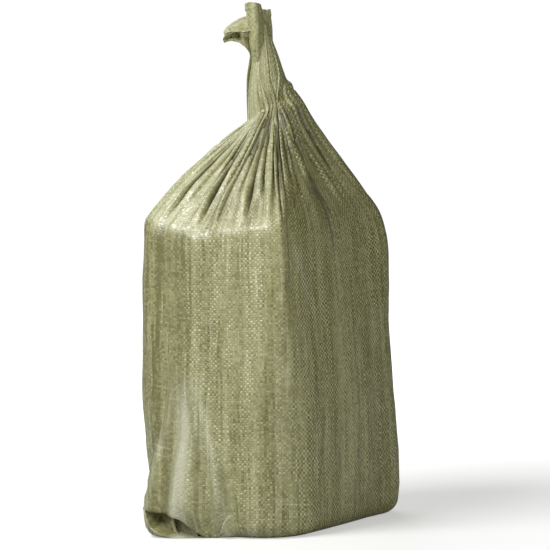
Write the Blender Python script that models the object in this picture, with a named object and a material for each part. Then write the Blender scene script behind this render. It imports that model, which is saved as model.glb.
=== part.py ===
"""Rubble sack: one tubular woven sack, filled, standing on its base with its mouth gathered.

Metres, +Z up. The origin is on the floor, under the middle of the load. -Y is the front face,
and the viewer stands off the corner between it and the +X side. The sack and what it holds are
one closed solid, a loft: a flat base, a box-shaped body with laid tucks of spare cloth down its
hidden sides, a pleated cone of slack cloth, a tight neck and a folded mouth. A share is a place
on the way round the sack, from 0 at the middle of the front towards +X.
"""

import math

import bmesh
import bpy

OBJECT_NAME = "rubble_sack"

# The body: the load's box with the cloth over it
BODY_WIDTH = 0.218
BODY_DEPTH = 0.299
EDGE_HEIGHT = 0.405
BASE_ROUND = 0.020
SIDE_BULGE = 0.004
FOOT_FLARE = 0.006
BASE_INSETS = (0.070, 0.040, BASE_ROUND)

# The load's upright corners, from the near one round to the left one. The near one opens out
# towards the floor, and each side between them swells a little
CORNER_SHARES = (0.105, 0.395, 0.605, 0.895)
NEAR_RADIUS_TOP = 0.014
NEAR_RADIUS_FOOT = 0.058
NEAR_ROUND_TOP = 0.36
NEAR_ROUND_SPAN = 0.26
FAR_RADIUS = 0.030
BACK_RADIUS = 0.032
LEFT_RADIUS = 0.034
CORNER_REACH = 0.055
CORNER_FADE = 0.060
LEAST_WEIGHT = 1e-6
PILLOWS = (0.003, 0.007, 0.006, 0.004)
PILLOW_ARC = (0.15, 0.92)
LEFT_SIDE = ((0.0, 0.0), (0.58, 0.0), (0.65, 1.0), (0.88, 1.0), (0.93, 0.0), (1.0, 0.0))
LEFT_SIDE_OUT = 0.004
LEFT_FOOT_IN = -0.005
LEFT_FOOT_SPAN = (0.05, 0.19)

# The tucks: where the body's spare cloth lies folded over down the sides that the viewer
# doesn't see, by the share where each starts and the share of its ridge at the gather
TUCKS = ((0.465, 0.465), (0.537, 0.495), (0.615, 0.600), (0.719, 0.695), (0.785, 0.800))
TUCK_PROFILE = ((-0.010, 0.0), (0.0, -0.3), (0.034, 1.0), (0.043, -0.3), (0.055, 0.0))
TUCK_OUT = 0.007
TUCK_PEAK = 0.040

# The viewer's right, which the neck, the mouth and the shoulders are laid out along
VIEW_AZIMUTH = math.radians(30)
VIEW_RIGHT = (math.cos(VIEW_AZIMUTH), math.sin(VIEW_AZIMUTH))

# The cone between the load's top edge and the neck: full on the left, straight on the right
LEFT_RISE = 0.015
RIGHT_RISE = 0.004
FULLNESS = (
    (0.00, 0.00), (0.12, -0.10), (0.25, -0.32), (0.45, -0.32), (0.60, 0.20), (0.72, 0.75),
    (0.86, 0.75), (0.90, 0.45), (0.935, 0.12), (1.00, 0.00),
)
GATHER_HEIGHT = 0.560
GATHER_RADIUS = 0.030
GATHER_TILT = 0.020

# The cone's main folds: for each, its share at the load's edge and at the gather, how far it
# stands out (or in, as a valley) at its deepest, and its half width as a share at the load's edge
FOLDS = (
    (0.860, 0.862, -0.006, 0.012), (0.927, 0.957, -0.006, 0.010), (0.979, 1.016, -0.008, 0.010),
    (1.008, 1.078, -0.008, 0.010), (1.055, 1.100, -0.007, 0.010), (1.140, 1.133, -0.007, 0.010),
    (1.228, 1.143, -0.008, 0.011), (1.258, 1.158, 0.004, 0.010), (1.320, 1.220, -0.005, 0.011),
    (1.400, 1.360, -0.005, 0.012),
)

# The tucks run on up the cone as ridges, each between two valleys, and bend as they rise
TUCK_RIDGE = 0.016
TUCK_RIDGE_WIDTH = 0.018
TUCK_VALLEY = -0.007
TUCK_VALLEY_WIDTH = 0.014
TUCK_CURVE = 0.85

# All the cone's folds: how they bend, narrow and deepen on their way up, and the neck's flutes
FOLD_CURVE = 1.9
FOLD_NARROWING = 0.75
FOLD_DEEPENING = 0.8
FLUTES = 12
FLUTE_DEPTH = 0.10

# The neck, with its rings by height, radius and tilt, and the folded mouth above it
NECK_HEIGHT = 0.600
NECK_RADIUS = 0.0175
NECK_TOP = 0.640
NECK_RINGS = ((0.578, 0.021, 0.012), (NECK_HEIGHT, NECK_RADIUS, 0.004), (0.620, NECK_RADIUS, 0.0))
GATHER_OFFSET = 0.0115
MOUTH_OFFSET = 0.002
MOUTH_TOP = 0.700
MOUTH_HALF_WIDTH = 0.020
MOUTH_HALF_THICKNESS = 0.013
MOUTH_DISH = 0.006
DISH_RIM = 0.80
DISH_FLOOR = 0.62
LOBE_REACH = 0.032
LOBE_SPREAD = math.radians(34)
LOBE_CREST = 1.15
LOBE_BLUNTNESS = 0.7

# The tucked bottom corner of the sack, which stands out near the front left corner
EAR_REACH = 0.028
EAR_HEIGHT = 0.040
EAR_TOP = 0.210
EAR_SHARE = 0.943
EAR_SPREAD = 0.034
EAR_UNDERCUT = 0.50
EAR_TAPER = 1.5
EAR_SHOULDER = 0.064

COLUMNS = 112
ROUND_TURNS = (30, 60)
BODY_ROWS = 7
CONE_ROWS = 10
MOUTH_ROWS = 7


def clear_scene():
    for item in list(bpy.data.objects):
        bpy.data.objects.remove(item, do_unlink=True)


def smooth(value):
    """An even S-curve from 0 at 0 to 1 at 1."""
    value = min(max(value, 0.0), 1.0)
    return value * value * (3 - 2 * value)


def mix(start, end, share):
    return start + (end - start) * share


def at(table, place):
    """The table's value at a place, straight between its rows and level past its ends."""
    if place <= table[0][0]:
        return table[0][1]
    for (start, value), (end, next_value) in zip(table, table[1:]):
        if place <= end:
            return mix(value, next_value, (place - start) / (end - start))
    return table[-1][1]


def apart(share, other):
    """How far one share is past another, from -0.5 to 0.5."""
    return (share - other + 0.5) % 1.0 - 0.5


def ring(point_at):
    """One ring of the loft. Its columns start at the middle of the front and run to the right."""
    return [point_at(column / COLUMNS) for column in range(COLUMNS)]


def angle_of(share):
    return 2 * math.pi * share - math.pi / 2


def rightness(share):
    """1 on the viewer's right and -1 on the left."""
    return math.cos(angle_of(share) - VIEW_AZIMUTH)


def rounded_rectangle(share, half_width, half_depth, radius):
    """A point on the outline, by its share of the way round from the middle of the front."""
    across = half_width - radius
    along = half_depth - radius
    arc = radius * math.pi / 2
    left = (share % 1.0) * 4 * (across + along + arc)
    corners = ((across, -along), (across, along), (-across, along), (-across, -along))
    straights = (across, 2 * along, 2 * across, 2 * along)
    heading = 0.0
    x, y = 0.0, -half_depth
    for straight, (centre_x, centre_y) in zip(straights, corners):
        if left <= straight:
            break
        left -= straight
        bend = min(left, arc) / radius
        heading += bend
        x = centre_x + radius * math.sin(heading)
        y = centre_y - radius * math.cos(heading)
        left -= bend * radius
        if left <= 0:
            break
    return x + left * math.cos(heading), y + left * math.sin(heading)


def corner_radius(share, height):
    """The load's rounding near each upright corner, blended half way between them."""
    opening = smooth((NEAR_ROUND_TOP - height) / NEAR_ROUND_SPAN)
    near = mix(NEAR_RADIUS_TOP, NEAR_RADIUS_FOOT, opening)
    radii = (near, FAR_RADIUS, BACK_RADIUS, LEFT_RADIUS)
    weights = [
        LEAST_WEIGHT + 1 - smooth((abs(apart(share, centre)) - CORNER_REACH) / CORNER_FADE)
        for centre in CORNER_SHARES
    ]
    return sum(radius * weight for radius, weight in zip(radii, weights)) / sum(weights)


def swell(share, height):
    """How far each side of the load stands past its flat face."""
    total = 0.0
    starts = (CORNER_SHARES[-1] - 1,) + CORNER_SHARES[:-1]
    for start, end, reach in zip(starts, CORNER_SHARES, PILLOWS):
        across = ((share - start) % 1.0) / (end - start)
        if across < 1:
            total += reach * math.sin(math.pi * across)
    up = min(height / EDGE_HEIGHT, 1.0)
    low, high = LEFT_FOOT_SPAN
    aside = mix(LEFT_FOOT_IN, LEFT_SIDE_OUT, smooth((height - low) / (high - low)))
    upright = math.sin(math.pi * mix(*PILLOW_ARC, up))
    return total * upright + aside * at(LEFT_SIDE, share % 1.0)


def tuck_reach(share):
    """How far the laid tucks stand out of the body."""
    return TUCK_OUT * sum(at(TUCK_PROFILE, apart(share, start)) for start, _ in TUCKS)


def cornerness(share):
    """1 at the body's upright corners and 0 at the middle of each side."""
    x, y = rounded_rectangle(share, BODY_WIDTH / 2, BODY_DEPTH / 2, BASE_ROUND)
    return (4 * x * y / (BODY_WIDTH * BODY_DEPTH)) ** 2


def ear_reach(share, height):
    """How far the tucked corner stands out: a tent that flares down to a lip, cut in below it."""
    away = (share - EAR_SHARE + 0.5) % 1.0 - 0.5
    around = math.exp(-((away / EAR_SPREAD) ** 2))
    if height < EAR_HEIGHT:
        return EAR_REACH * around * mix(EAR_UNDERCUT, 1.0, smooth(height / EAR_HEIGHT))
    fade = 1 - smooth((height - EAR_HEIGHT) / (EAR_TOP - EAR_HEIGHT))
    return EAR_REACH * around * fade**EAR_TAPER


def body_point(share, height, inset=0.0):
    """A point of the body at this height, moved in by inset and out by its swell and folds."""
    up = height / EDGE_HEIGHT
    out = SIDE_BULGE * math.sin(math.pi * up) + FOOT_FLARE * (1 - smooth(up)) - inset
    out += swell(share, height) + ear_reach(share, height)
    out += tuck_reach(share) * smooth(height / BASE_ROUND)
    rounding = corner_radius(share, height)
    radius = max(rounding + out, rounding / 4)
    x, y = rounded_rectangle(share, BODY_WIDTH / 2 + out, BODY_DEPTH / 2 + out, radius)
    return x, y, height


def base_rings():
    """The flat base from its middle out, and the round edge up to the sides."""
    rings = [ring(lambda share: body_point(share, 0.0, inset)) for inset in BASE_INSETS]
    for turn in ROUND_TURNS:
        inset = BASE_ROUND * (1 - math.sin(math.radians(turn)))
        height = BASE_ROUND * (1 - math.cos(math.radians(turn)))
        rings.append(ring(lambda share: body_point(share, height, inset)))
    return rings


def body_rings():
    """The sides, with rows close together over the ear's lip."""
    heights = [BASE_ROUND, (BASE_ROUND + EAR_HEIGHT) / 2, EAR_HEIGHT, EAR_SHOULDER]
    heights += [mix(EAR_SHOULDER, EDGE_HEIGHT, (row + 1) / BODY_ROWS) for row in range(BODY_ROWS)]
    return [ring(lambda share: body_point(share, height)) for height in heights]


def fold_reach(share, up):
    """How far the cloth stands out at a point of the cone, on its ridges and in its valleys."""
    reach = 0.0
    folds = [(mix(low, top, up**FOLD_CURVE), out, width) for low, top, out, width in FOLDS]
    for start, top in TUCKS:
        ridge = mix(start + TUCK_PEAK, top, up**TUCK_CURVE)
        folds.append((ridge, TUCK_RIDGE, TUCK_RIDGE_WIDTH))
        for side in (-1, 1):
            valley = ridge + side * (TUCK_RIDGE_WIDTH + TUCK_VALLEY_WIDTH)
            folds.append((valley, TUCK_VALLEY, TUCK_VALLEY_WIDTH))
    for centre, out, width in folds:
        across = apart(share, centre) / (width * mix(1.0, FOLD_NARROWING, up))
        reach += out * math.exp(-(across**2))
    return reach * math.sin(math.pi * up**FOLD_DEEPENING)


def flute(share):
    """0 on a ridge of the gathered neck and 1 in the valley between two ridges."""
    return 0.5 - 0.5 * math.cos(2 * math.pi * share * FLUTES)


def neck_point(share, height, half_width, half_thickness, left_shift=0.0):
    """A point of an oval around the leaning neck, with its long side towards the viewer."""
    lean = (height - GATHER_HEIGHT) / (MOUTH_TOP - GATHER_HEIGHT)
    right = mix(GATHER_OFFSET, MOUTH_OFFSET, lean) + half_width * rightness(share) - left_shift
    away = half_thickness * math.sin(angle_of(share) - VIEW_AZIMUTH)
    x = right * VIEW_RIGHT[0] - away * VIEW_RIGHT[1]
    y = right * VIEW_RIGHT[1] + away * VIEW_RIGHT[0]
    return x, y, height


def cone_point(share, up):
    """A point of the cone, from the load's edge at 0 up to the tilted ring of the gather at 1."""
    side = (1 + rightness(share)) / 2
    narrowing = mix(up, up**2, at(FULLNESS, share))
    start = EDGE_HEIGHT + mix(LEFT_RISE, RIGHT_RISE, side) * cornerness(share)
    end = GATHER_HEIGHT + GATHER_TILT * rightness(share)
    edge_x, edge_y, _ = body_point(share, EDGE_HEIGHT)
    neck_x, neck_y, _ = neck_point(share, GATHER_HEIGHT, GATHER_RADIUS, GATHER_RADIUS)
    inward = narrowing - fold_reach(share, up) / math.hypot(edge_x - neck_x, edge_y - neck_y)
    return mix(edge_x, neck_x, inward), mix(edge_y, neck_y, inward), mix(start, end, up)


def cone_rings():
    shares_up = [(row + 1) / CONE_ROWS for row in range(CONE_ROWS)]
    return [ring(lambda share: cone_point(share, up)) for up in shares_up]


def neck_rings():
    """The neck, fluted by the ends of the folds. Its rings level out from the gather's tilt."""
    def point(share, height, radius, tilt):
        fluted = radius * (1 - FLUTE_DEPTH * flute(share))
        x, y, _ = neck_point(share, height, fluted, fluted)
        return x, y, height + tilt * rightness(share)

    return [ring(lambda share: point(share, *neck_ring)) for neck_ring in NECK_RINGS]


def lobe_reach(share, up):
    """How far the mouth's folded lobe hangs out to the viewer's left, by the way up the mouth."""
    away = math.acos(min(max(-rightness(share), -1.0), 1.0)) / LOBE_SPREAD
    crest = math.sin(math.pi * min(up * LOBE_CREST, 1.0))
    return LOBE_REACH * math.exp(-(away**2)) * max(crest, 0.0) ** LOBE_BLUNTNESS


def mouth_point(share, up):
    """A point of the mouth, from the round neck at 0 to its flattened rim at 1."""
    half_width = mix(NECK_RADIUS, MOUTH_HALF_WIDTH, smooth(up))
    half_thickness = mix(NECK_RADIUS, MOUTH_HALF_THICKNESS, smooth(up))
    height = mix(NECK_TOP, MOUTH_TOP, up)
    return neck_point(share, height, half_width, half_thickness, lobe_reach(share, up))


def mouth_rings():
    """The folded mouth, and the shallow dish between the folds at its top."""
    shares_up = [row / (MOUTH_ROWS - 1) for row in range(MOUTH_ROWS)]
    rings = [ring(lambda share: mouth_point(share, up)) for up in shares_up]
    for scale, drop in ((DISH_RIM, 0.0), (DISH_FLOOR, MOUTH_DISH)):
        half_width = MOUTH_HALF_WIDTH * scale
        half_thickness = MOUTH_HALF_THICKNESS * scale
        height = MOUTH_TOP - drop
        rings.append(ring(lambda share: neck_point(share, height, half_width, half_thickness)))
    return rings


def loft(name, rings):
    """A closed mesh through the rings, with its first and last ring filled."""
    cage = bmesh.new()
    loops = [[cage.verts.new(point) for point in points] for points in rings]
    cage.faces.new(reversed(loops[0]))
    for lower, upper in zip(loops, loops[1:]):
        for column in range(COLUMNS):
            after = (column + 1) % COLUMNS
            cage.faces.new((lower[column], lower[after], upper[after], upper[column]))
    cage.faces.new(loops[-1])
    mesh = bpy.data.meshes.new(name)
    cage.to_mesh(mesh)
    cage.free()
    mesh.shade_smooth()
    return mesh


def woven_cloth_material():
    material = bpy.data.materials.new("woven_cloth")
    material.use_nodes = True
    shader = material.node_tree.nodes["Principled BSDF"]
    shader.inputs["Base Color"].default_value = (0.33, 0.32, 0.16, 1.0)
    shader.inputs["Roughness"].default_value = 0.5
    shader.inputs["Metallic"].default_value = 0.0
    return material


def make_woven_sack(collection):
    rings = base_rings() + body_rings() + cone_rings() + neck_rings() + mouth_rings()
    sack = bpy.data.objects.new("woven_sack", loft("woven_sack", rings))
    sack.data.materials.append(woven_cloth_material())
    collection.objects.link(sack)


def main():
    clear_scene()
    collection = bpy.data.collections.new(OBJECT_NAME)
    bpy.context.scene.collection.children.link(collection)
    make_woven_sack(collection)


main()
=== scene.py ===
"""The looks of the rubble sack: its pleated woven cloth, its folded mouth and its tucked corner.

Metres, +Z up, in the frame of the part: the front is -Y, and the photograph also shows +X. The
cloth is one grid of points. Its columns follow the lengthwise tapes and its rows the crosswise
ones, so its UV map is the flat cloth in metres. A share is a place on the way round, from 0 at
the middle of the front towards +X. The tables count on past 1 for the front's right half.
"""

import math
import random

import bpy
import numpy as np
from mathutils import Matrix, Vector


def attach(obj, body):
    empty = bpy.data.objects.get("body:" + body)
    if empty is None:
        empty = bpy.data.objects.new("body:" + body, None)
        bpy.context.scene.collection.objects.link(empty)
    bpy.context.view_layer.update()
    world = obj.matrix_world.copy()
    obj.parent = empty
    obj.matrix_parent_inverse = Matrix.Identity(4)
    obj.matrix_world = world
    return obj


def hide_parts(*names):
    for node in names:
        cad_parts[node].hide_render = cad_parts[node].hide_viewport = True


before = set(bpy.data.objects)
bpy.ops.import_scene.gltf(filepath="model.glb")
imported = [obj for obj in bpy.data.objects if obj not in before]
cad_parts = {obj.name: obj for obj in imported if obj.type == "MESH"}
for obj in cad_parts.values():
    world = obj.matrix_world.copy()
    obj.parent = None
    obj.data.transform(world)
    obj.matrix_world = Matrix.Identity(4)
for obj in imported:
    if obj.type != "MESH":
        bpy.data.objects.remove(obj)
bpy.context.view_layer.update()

# The filled body, as in the part
BODY_WIDTH = 0.218
BODY_DEPTH = 0.299
EDGE_HEIGHT = 0.405
BASE_ROUND = 0.02
SIDE_BULGE = 0.004
FOOT_FLARE = 0.006
CORNER_SHARES = (0.105, 0.395, 0.605, 0.895)
NEAR_RADIUS_TOP = 0.014
NEAR_RADIUS_FOOT = 0.058
NEAR_OPENS = (0.36, 0.1)
FAR_RADIUS = 0.03
BACK_RADIUS = 0.032
LEFT_RADIUS = 0.034
CORNER_REACH = (0.115, 0.055)
PILLOWS = (0.003, 0.007, 0.006, 0.004)
# The part of a half wave that the swell follows upwards
PILLOW_SPAN = (0.15, 0.92)
# The far corner by share, and how far it stands out by height
FAR_CORNER = ((0.33, 0), (0.37, 1), (0.42, 1), (0.46, 0))
FAR_OUT = (
    (0.0, 0.004), (0.04, 0.007), (0.09, 0.006), (0.16, 0.001), (0.27, 0.0), (0.33, 0.005),
    (0.37, 0.006), (0.41, 0.002),
)
# The left side by share, how far out it is at its foot and above, and where it turns
LEFT_SIDE = ((0.58, 0), (0.65, 1), (0.88, 1), (0.93, 0))
LEFT_FOOT_IN = -0.005
LEFT_SIDE_OUT = 0.004
LEFT_TURNS = (0.05, 0.19)
# The bevel along the front's top edge, and how far it leans in by share
BEVEL_LOW = 0.396
BEVEL_BEND = 1.4
BEVEL_IN = (
    (0.89, 0.0), (0.9, 0.004), (0.922, 0.004), (0.94, 0.001), (0.965, 0.0015), (0.978, 0.0055),
    (0.998, 0.005), (1.014, 0.001), (1.09, 0.0), (1.1, 0.002), (1.104, 0.002), (1.108, 0.0),
)

# The cone, the neck and the mouth, as in the part
VIEW_AZIMUTH = math.radians(30)
VIEW_RIGHT = np.array([math.cos(VIEW_AZIMUTH), math.sin(VIEW_AZIMUTH), 0.0])
VIEW_AWAY = np.array([-math.sin(VIEW_AZIMUTH), math.cos(VIEW_AZIMUTH), 0.0])
# How far the load's top edge rises towards its corners
LEFT_RISE = 0.015
RIGHT_RISE = 0.004
RISE_RADIUS = 0.022
# How full the cone is by share: at 0 its sides are straight
FULLNESS = (
    (0.0, 0.0), (0.12, -0.08), (0.25, -0.16), (0.45, -0.16), (0.6, 0.2), (0.72, 0.6),
    (0.84, 0.52), (0.9, 0.36), (0.935, 0.12), (1.0, 0.0),
)
GATHER_HEIGHT = 0.56
GATHER_RADIUS = 0.03
GATHER_TILT = 0.02
GATHER_OFFSET = 0.0115
NECK_LEVEL = 0.04
MOUTH_OFFSET = 0.002
MOUTH_TOP = 0.7
NECK_HEIGHTS = (0.56, 0.58, 0.604, 0.63, 0.65, 0.672)
NECK_RADII = (0.0295, 0.0268, 0.0222, 0.0165, 0.011, 0.0085)

# The grid of the cloth
COLUMNS = 560
FINE = 1120
BASE_ROWS = 6
LOW_ROWS = 28
LOW_TOP = 0.075
BODY_ROWS = 46
CONE_ROWS = 62
UPPER_ROWS = 32
SEED = 11
BASE_GAP = 0.004
BODY_ROW_BEND = 1.15
# The softening of the load's top edge: its turns, those that run all round, its rows, the turns
# for one row more, and where on the viewer's right it acts
SOFT_TURNS = 30
EVEN_TURNS = 2
SOFT_ROWS = 8
TURNS_A_ROW = 3
SOFT_SIDE = (0.45, 0.8)


def smooth(value):
    """An even S-curve from 0 at 0 to 1 at 1."""
    value = np.clip(value, 0.0, 1.0)
    return value * value * (3 - 2 * value)


def rise(value, low, high):
    """The S-curve over a range: 0 at low and 1 at high, which may be the smaller."""
    return smooth((value - low) / (high - low))


def mix(start, end, share):
    return start + (end - start) * share


def sums_to(values):
    """The sum up to each place, with 0 first."""
    return np.concatenate([[0.0], np.cumsum(values)])


def unit(vectors):
    return vectors / np.linalg.norm(vectors, axis=-1, keepdims=True)


def ring_steps(ring):
    """The lengths from each point of a ring to the next."""
    return np.linalg.norm(np.roll(ring, -1, axis=0) - ring, axis=1)


def length_up(points):
    """The length of the cloth from the lowest row up to each point."""
    steps = np.linalg.norm(np.diff(points, axis=0), axis=2)
    return np.concatenate([np.zeros((1, points.shape[1])), np.cumsum(steps, axis=0)])


def angle_of(share):
    return 2 * np.pi * share - np.pi / 2


def at(table, place):
    places, values = zip(*table)
    return np.interp(place, places, values)


def rightness(share):
    """1 on the viewer's right and -1 on the left."""
    return np.cos(angle_of(share) - VIEW_AZIMUTH)


def counted_on(share):
    """Shares of the front's right half and the right side counted on past 1."""
    share = np.asarray(share, float) % 1.0
    return np.where(share < 0.5, share + 1.0, share)


def placed(right, away, height):
    """Points by their places to the viewer's right, away and up."""
    parts = np.stack(np.broadcast_arrays(right, away, height), axis=-1)
    return parts @ np.array([VIEW_RIGHT, VIEW_AWAY, (0, 0, 1)])


def rounded_rectangle(share, half_width, half_depth, radius):
    """Points on the outline, by their share of the way round from the middle of the front."""
    share = np.asarray(share, float) % 1.0
    half_width, half_depth, radius = np.broadcast_arrays(half_width, half_depth, radius)
    across = half_width - radius
    along = half_depth - radius
    arc = radius * np.pi / 2
    length = share * 4 * (across + along + arc)
    x = heading = np.zeros_like(share)
    y = x - half_depth
    rest, start = length, 0.0
    corners = ((across, -along), (across, along), (-across, along), (-across, -along))
    straights = (across, 2 * along, 2 * across, 2 * along)
    for straight, (centre_x, centre_y) in zip(straights, corners):
        past = np.maximum(length - start - straight, 0.0)
        bend = np.minimum(past, arc) / radius
        heading = heading + bend
        x = np.where(past > 0, centre_x + radius * np.sin(heading), x)
        y = np.where(past > 0, centre_y - radius * np.cos(heading), y)
        rest = np.where(past > 0, past - bend * radius, rest)
        start = start + straight + arc
    return x + rest * np.cos(heading), y + rest * np.sin(heading)


def corner_radius(share, height):
    """The load's rounding at each upright corner: the near one opens out towards the floor."""
    near = mix(NEAR_RADIUS_TOP, NEAR_RADIUS_FOOT, rise(height, *NEAR_OPENS))
    radii = (near, FAR_RADIUS, BACK_RADIUS, LEFT_RADIUS)
    share = np.asarray(share, float) % 1.0
    total = weight = np.zeros_like(share)
    for centre, radius in zip(CORNER_SHARES, radii):
        apart = np.abs((share - centre + 0.5) % 1.0 - 0.5)
        here = 1e-6 + rise(apart, *CORNER_REACH)
        total = total + here * radius
        weight = weight + here
    return total / weight


def pillow(share, height):
    """How far each side of the load swells past its flat face."""
    up = np.clip(height / EDGE_HEIGHT, 0.0, 1.0)
    starts = (CORNER_SHARES[-1] - 1, *CORNER_SHARES[:-1])
    swell = np.zeros(np.broadcast(share, height).shape)
    for start, end, reach in zip(starts, CORNER_SHARES, PILLOWS):
        across = ((np.asarray(share) - start) % 1.0) / (end - start)
        swell = swell + np.where(across < 1, reach * np.sin(np.pi * np.clip(across, 0, 1)), 0.0)
    left = at(LEFT_SIDE, share % 1.0) * mix(LEFT_FOOT_IN, LEFT_SIDE_OUT, rise(height, *LEFT_TURNS))
    far = at(FAR_CORNER, share % 1.0) * at(FAR_OUT, height)
    return swell * np.sin(np.pi * mix(*PILLOW_SPAN, up)) + left + far


def bevel(share, height):
    """How far the front's top edge leans in."""
    way = np.clip((height - BEVEL_LOW) / (EDGE_HEIGHT - BEVEL_LOW), 0.0, 1.0)
    return at(BEVEL_IN, counted_on(share)) * way**BEVEL_BEND


def body_ring(share, height, inset=0.0):
    up = np.clip(height / EDGE_HEIGHT, 0.0, 1.0)
    out = SIDE_BULGE * np.sin(np.pi * up) + FOOT_FLARE * (1 - smooth(up)) + pillow(share, height)
    out = out - inset - bevel(share, height)
    rounding = corner_radius(share, height)
    radius = np.maximum(rounding + out, rounding / 4)
    x, y = rounded_rectangle(share, BODY_WIDTH / 2 + out, BODY_DEPTH / 2 + out, radius)
    return np.stack([x, y, height + np.zeros_like(x)], axis=-1)


def cornerness(share):
    """1 at the load's corners, and less towards the middles of its sides."""
    x, y = rounded_rectangle(share, BODY_WIDTH / 2, BODY_DEPTH / 2, RISE_RADIUS)
    return (4 * x * y / (BODY_WIDTH * BODY_DEPTH)) ** 2


# The tent that the tucked corner pulls out of the front: its reach by height, and for each ridge
# and valley its part of that reach and its shares by height
TENT_REACH = (
    (0.0, 0.008), (0.02, 0.021), (0.035, 0.031), (0.06, 0.028), (0.09, 0.0215),
    (0.13, 0.0132), (0.17, 0.0086), (0.21, 0.005), (0.26, 0.0),
)
TENT_LINE_HEIGHTS = (0.04, 0.06, 0.1, 0.135, 0.17, 0.21)
TENT_LINES = (
    (0.0, (0.882, 0.893, 0.909, 0.922, 0.932, 0.94)),
    (1.0, (0.898, 0.909, 0.924, 0.936, 0.944, 0.948)),
    (0.66, (0.938, 0.942, 0.948, 0.954, 0.956, 0.957)),
    (1.26, (0.958, 0.96, 0.963, 0.966, 0.966, 0.963)),
    (1.12, (0.98, 0.98, 0.98, 0.979, 0.974, 0.968)),
    (0.22, (1.003, 0.998, 0.991, 0.984, 0.978, 0.973)),
    (0.74, (1.021, 1.018, 1.014, 1.004, 0.994, 0.984)),
    (0.02, (1.033, 1.029, 1.024, 1.015, 1.006, 0.996)),
    (0.2, (1.048, 1.043, 1.037, 1.029, 1.022, 1.008)),
    (0.0, (1.064, 1.059, 1.052, 1.047, 1.042, 1.027)),
)
# How straight the cloth is between these lines: at 0 it is an S-curve
TENT_STRAIGHT = 0.55
# Where the tucked corner points, and how far the cloth turns that way by share
EAR_DIRECTION = np.array([0.05, -0.9987, 0.0])
EAR_TURNS = ((0.86, 0), (0.89, 1), (0.96, 1), (1.04, 0))
# Where a highlight is painted along the tent's ridges: their shares by height, strength and width
RIDGE_HIGHLIGHT_LINES = (
    ((0.962, 0.964, 0.967, 0.969, 0.968, 0.966), 1.0, 0.013),
    ((1.021, 1.018, 1.012, 1.002, 0.993, 0.984), 0.45, 0.008),
    ((0.908, 0.914, 0.927, 0.937, 0.945, 0.949), 0.35, 0.006),
)
RIDGE_HIGHLIGHT_FADE = (0.235, 0.15)

# The tucked corner's open pocket, by the way along it from its tip: the height of its lip, and
# the reach and height of its lower rim and its inner wall
TIP_SHARE = 0.906
POCKET_END = 1.0
POCKET_OPENS = (0.878, 0.904)
POCKET_CLOSES = (1.045, 1.0)
LIP = (
    (0, 0.037), (0.3, 0.035), (0.6, 0.0305), (0.66, 0.0275), (0.78, 0.0145), (0.9, 0.0022),
    (1, 0.001),
)
RIM_OUT = ((0, 0.03), (0.08, 0.032), (0.25, 0.031), (0.5, 0.024), (0.75, 0.013), (1, 0.002))
RIM_UP = ((0, 0.034), (0.06, 0.023), (0.15, 0.012), (0.3, 0.004), (0.45, 0.0), (1, 0.0))
WALL_OUT = ((0, 0.028), (0.06, 0.018), (0.12, 0.002), (0.5, -0.01), (0.85, -0.004), (1, 0.002))
WALL_UP = ((0, 0.036), (0.15, 0.027), (0.4, 0.02), (0.7, 0.012), (1, 0.001))


def tent_out(share, height):
    """How far the tucked corner pulls the cloth out of the front."""
    share = counted_on(share)
    share, height = np.broadcast_arrays(share, height)
    places = [np.interp(height, TENT_LINE_HEIGHTS, line) for _, line in TENT_LINES]
    parts = [part for part, _ in TENT_LINES]
    out = np.zeros(share.shape)
    for (start, part), (end, next_part) in zip(zip(places, parts), zip(places[1:], parts[1:])):
        inside = (share >= start) & (share < end)
        way = (share - start) / (end - start)
        eased = mix(smooth(way), way, TENT_STRAIGHT)
        out = np.where(inside, mix(part, next_part, eased), out)
    return out * at(TENT_REACH, height)


def painted_ridge_highlight(share, height):
    """How strongly a highlight is painted on the tent's ridges, from 0 to 1."""
    total = np.zeros(share.shape)
    for line, strength, width in RIDGE_HIGHLIGHT_LINES:
        apart = counted_on(share) - np.interp(height, TENT_LINE_HEIGHTS, line)
        total = total + strength * np.exp(-((apart / width) ** 2))
    return total * rise(height, *RIDGE_HIGHLIGHT_FADE)


def outward(share):
    """The level direction in which the tent stands out of the body."""
    ring = body_ring(share, 0.1)
    along = np.roll(ring, -1, axis=0) - np.roll(ring, 1, axis=0)
    normal = unit(np.stack([along[:, 1], -along[:, 0], np.zeros(len(ring))], axis=1))
    return unit(mix(normal, EAR_DIRECTION, at(EAR_TURNS, counted_on(share))[:, None]))


def foot_path(share, way):
    """Inset and height from the base's edge, round the load's foot and up its side."""
    bend = BASE_ROUND * np.pi / 2
    length = way * (bend + LOW_TOP - BASE_ROUND)
    turn = np.minimum(length, bend) / BASE_ROUND
    inset = BASE_ROUND * (1 - np.sin(turn))
    height = BASE_ROUND * (1 - np.cos(turn)) + np.maximum(length - bend, 0.0)
    height = height + np.zeros_like(share)
    return tent_out(share, height) - inset, height


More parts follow.
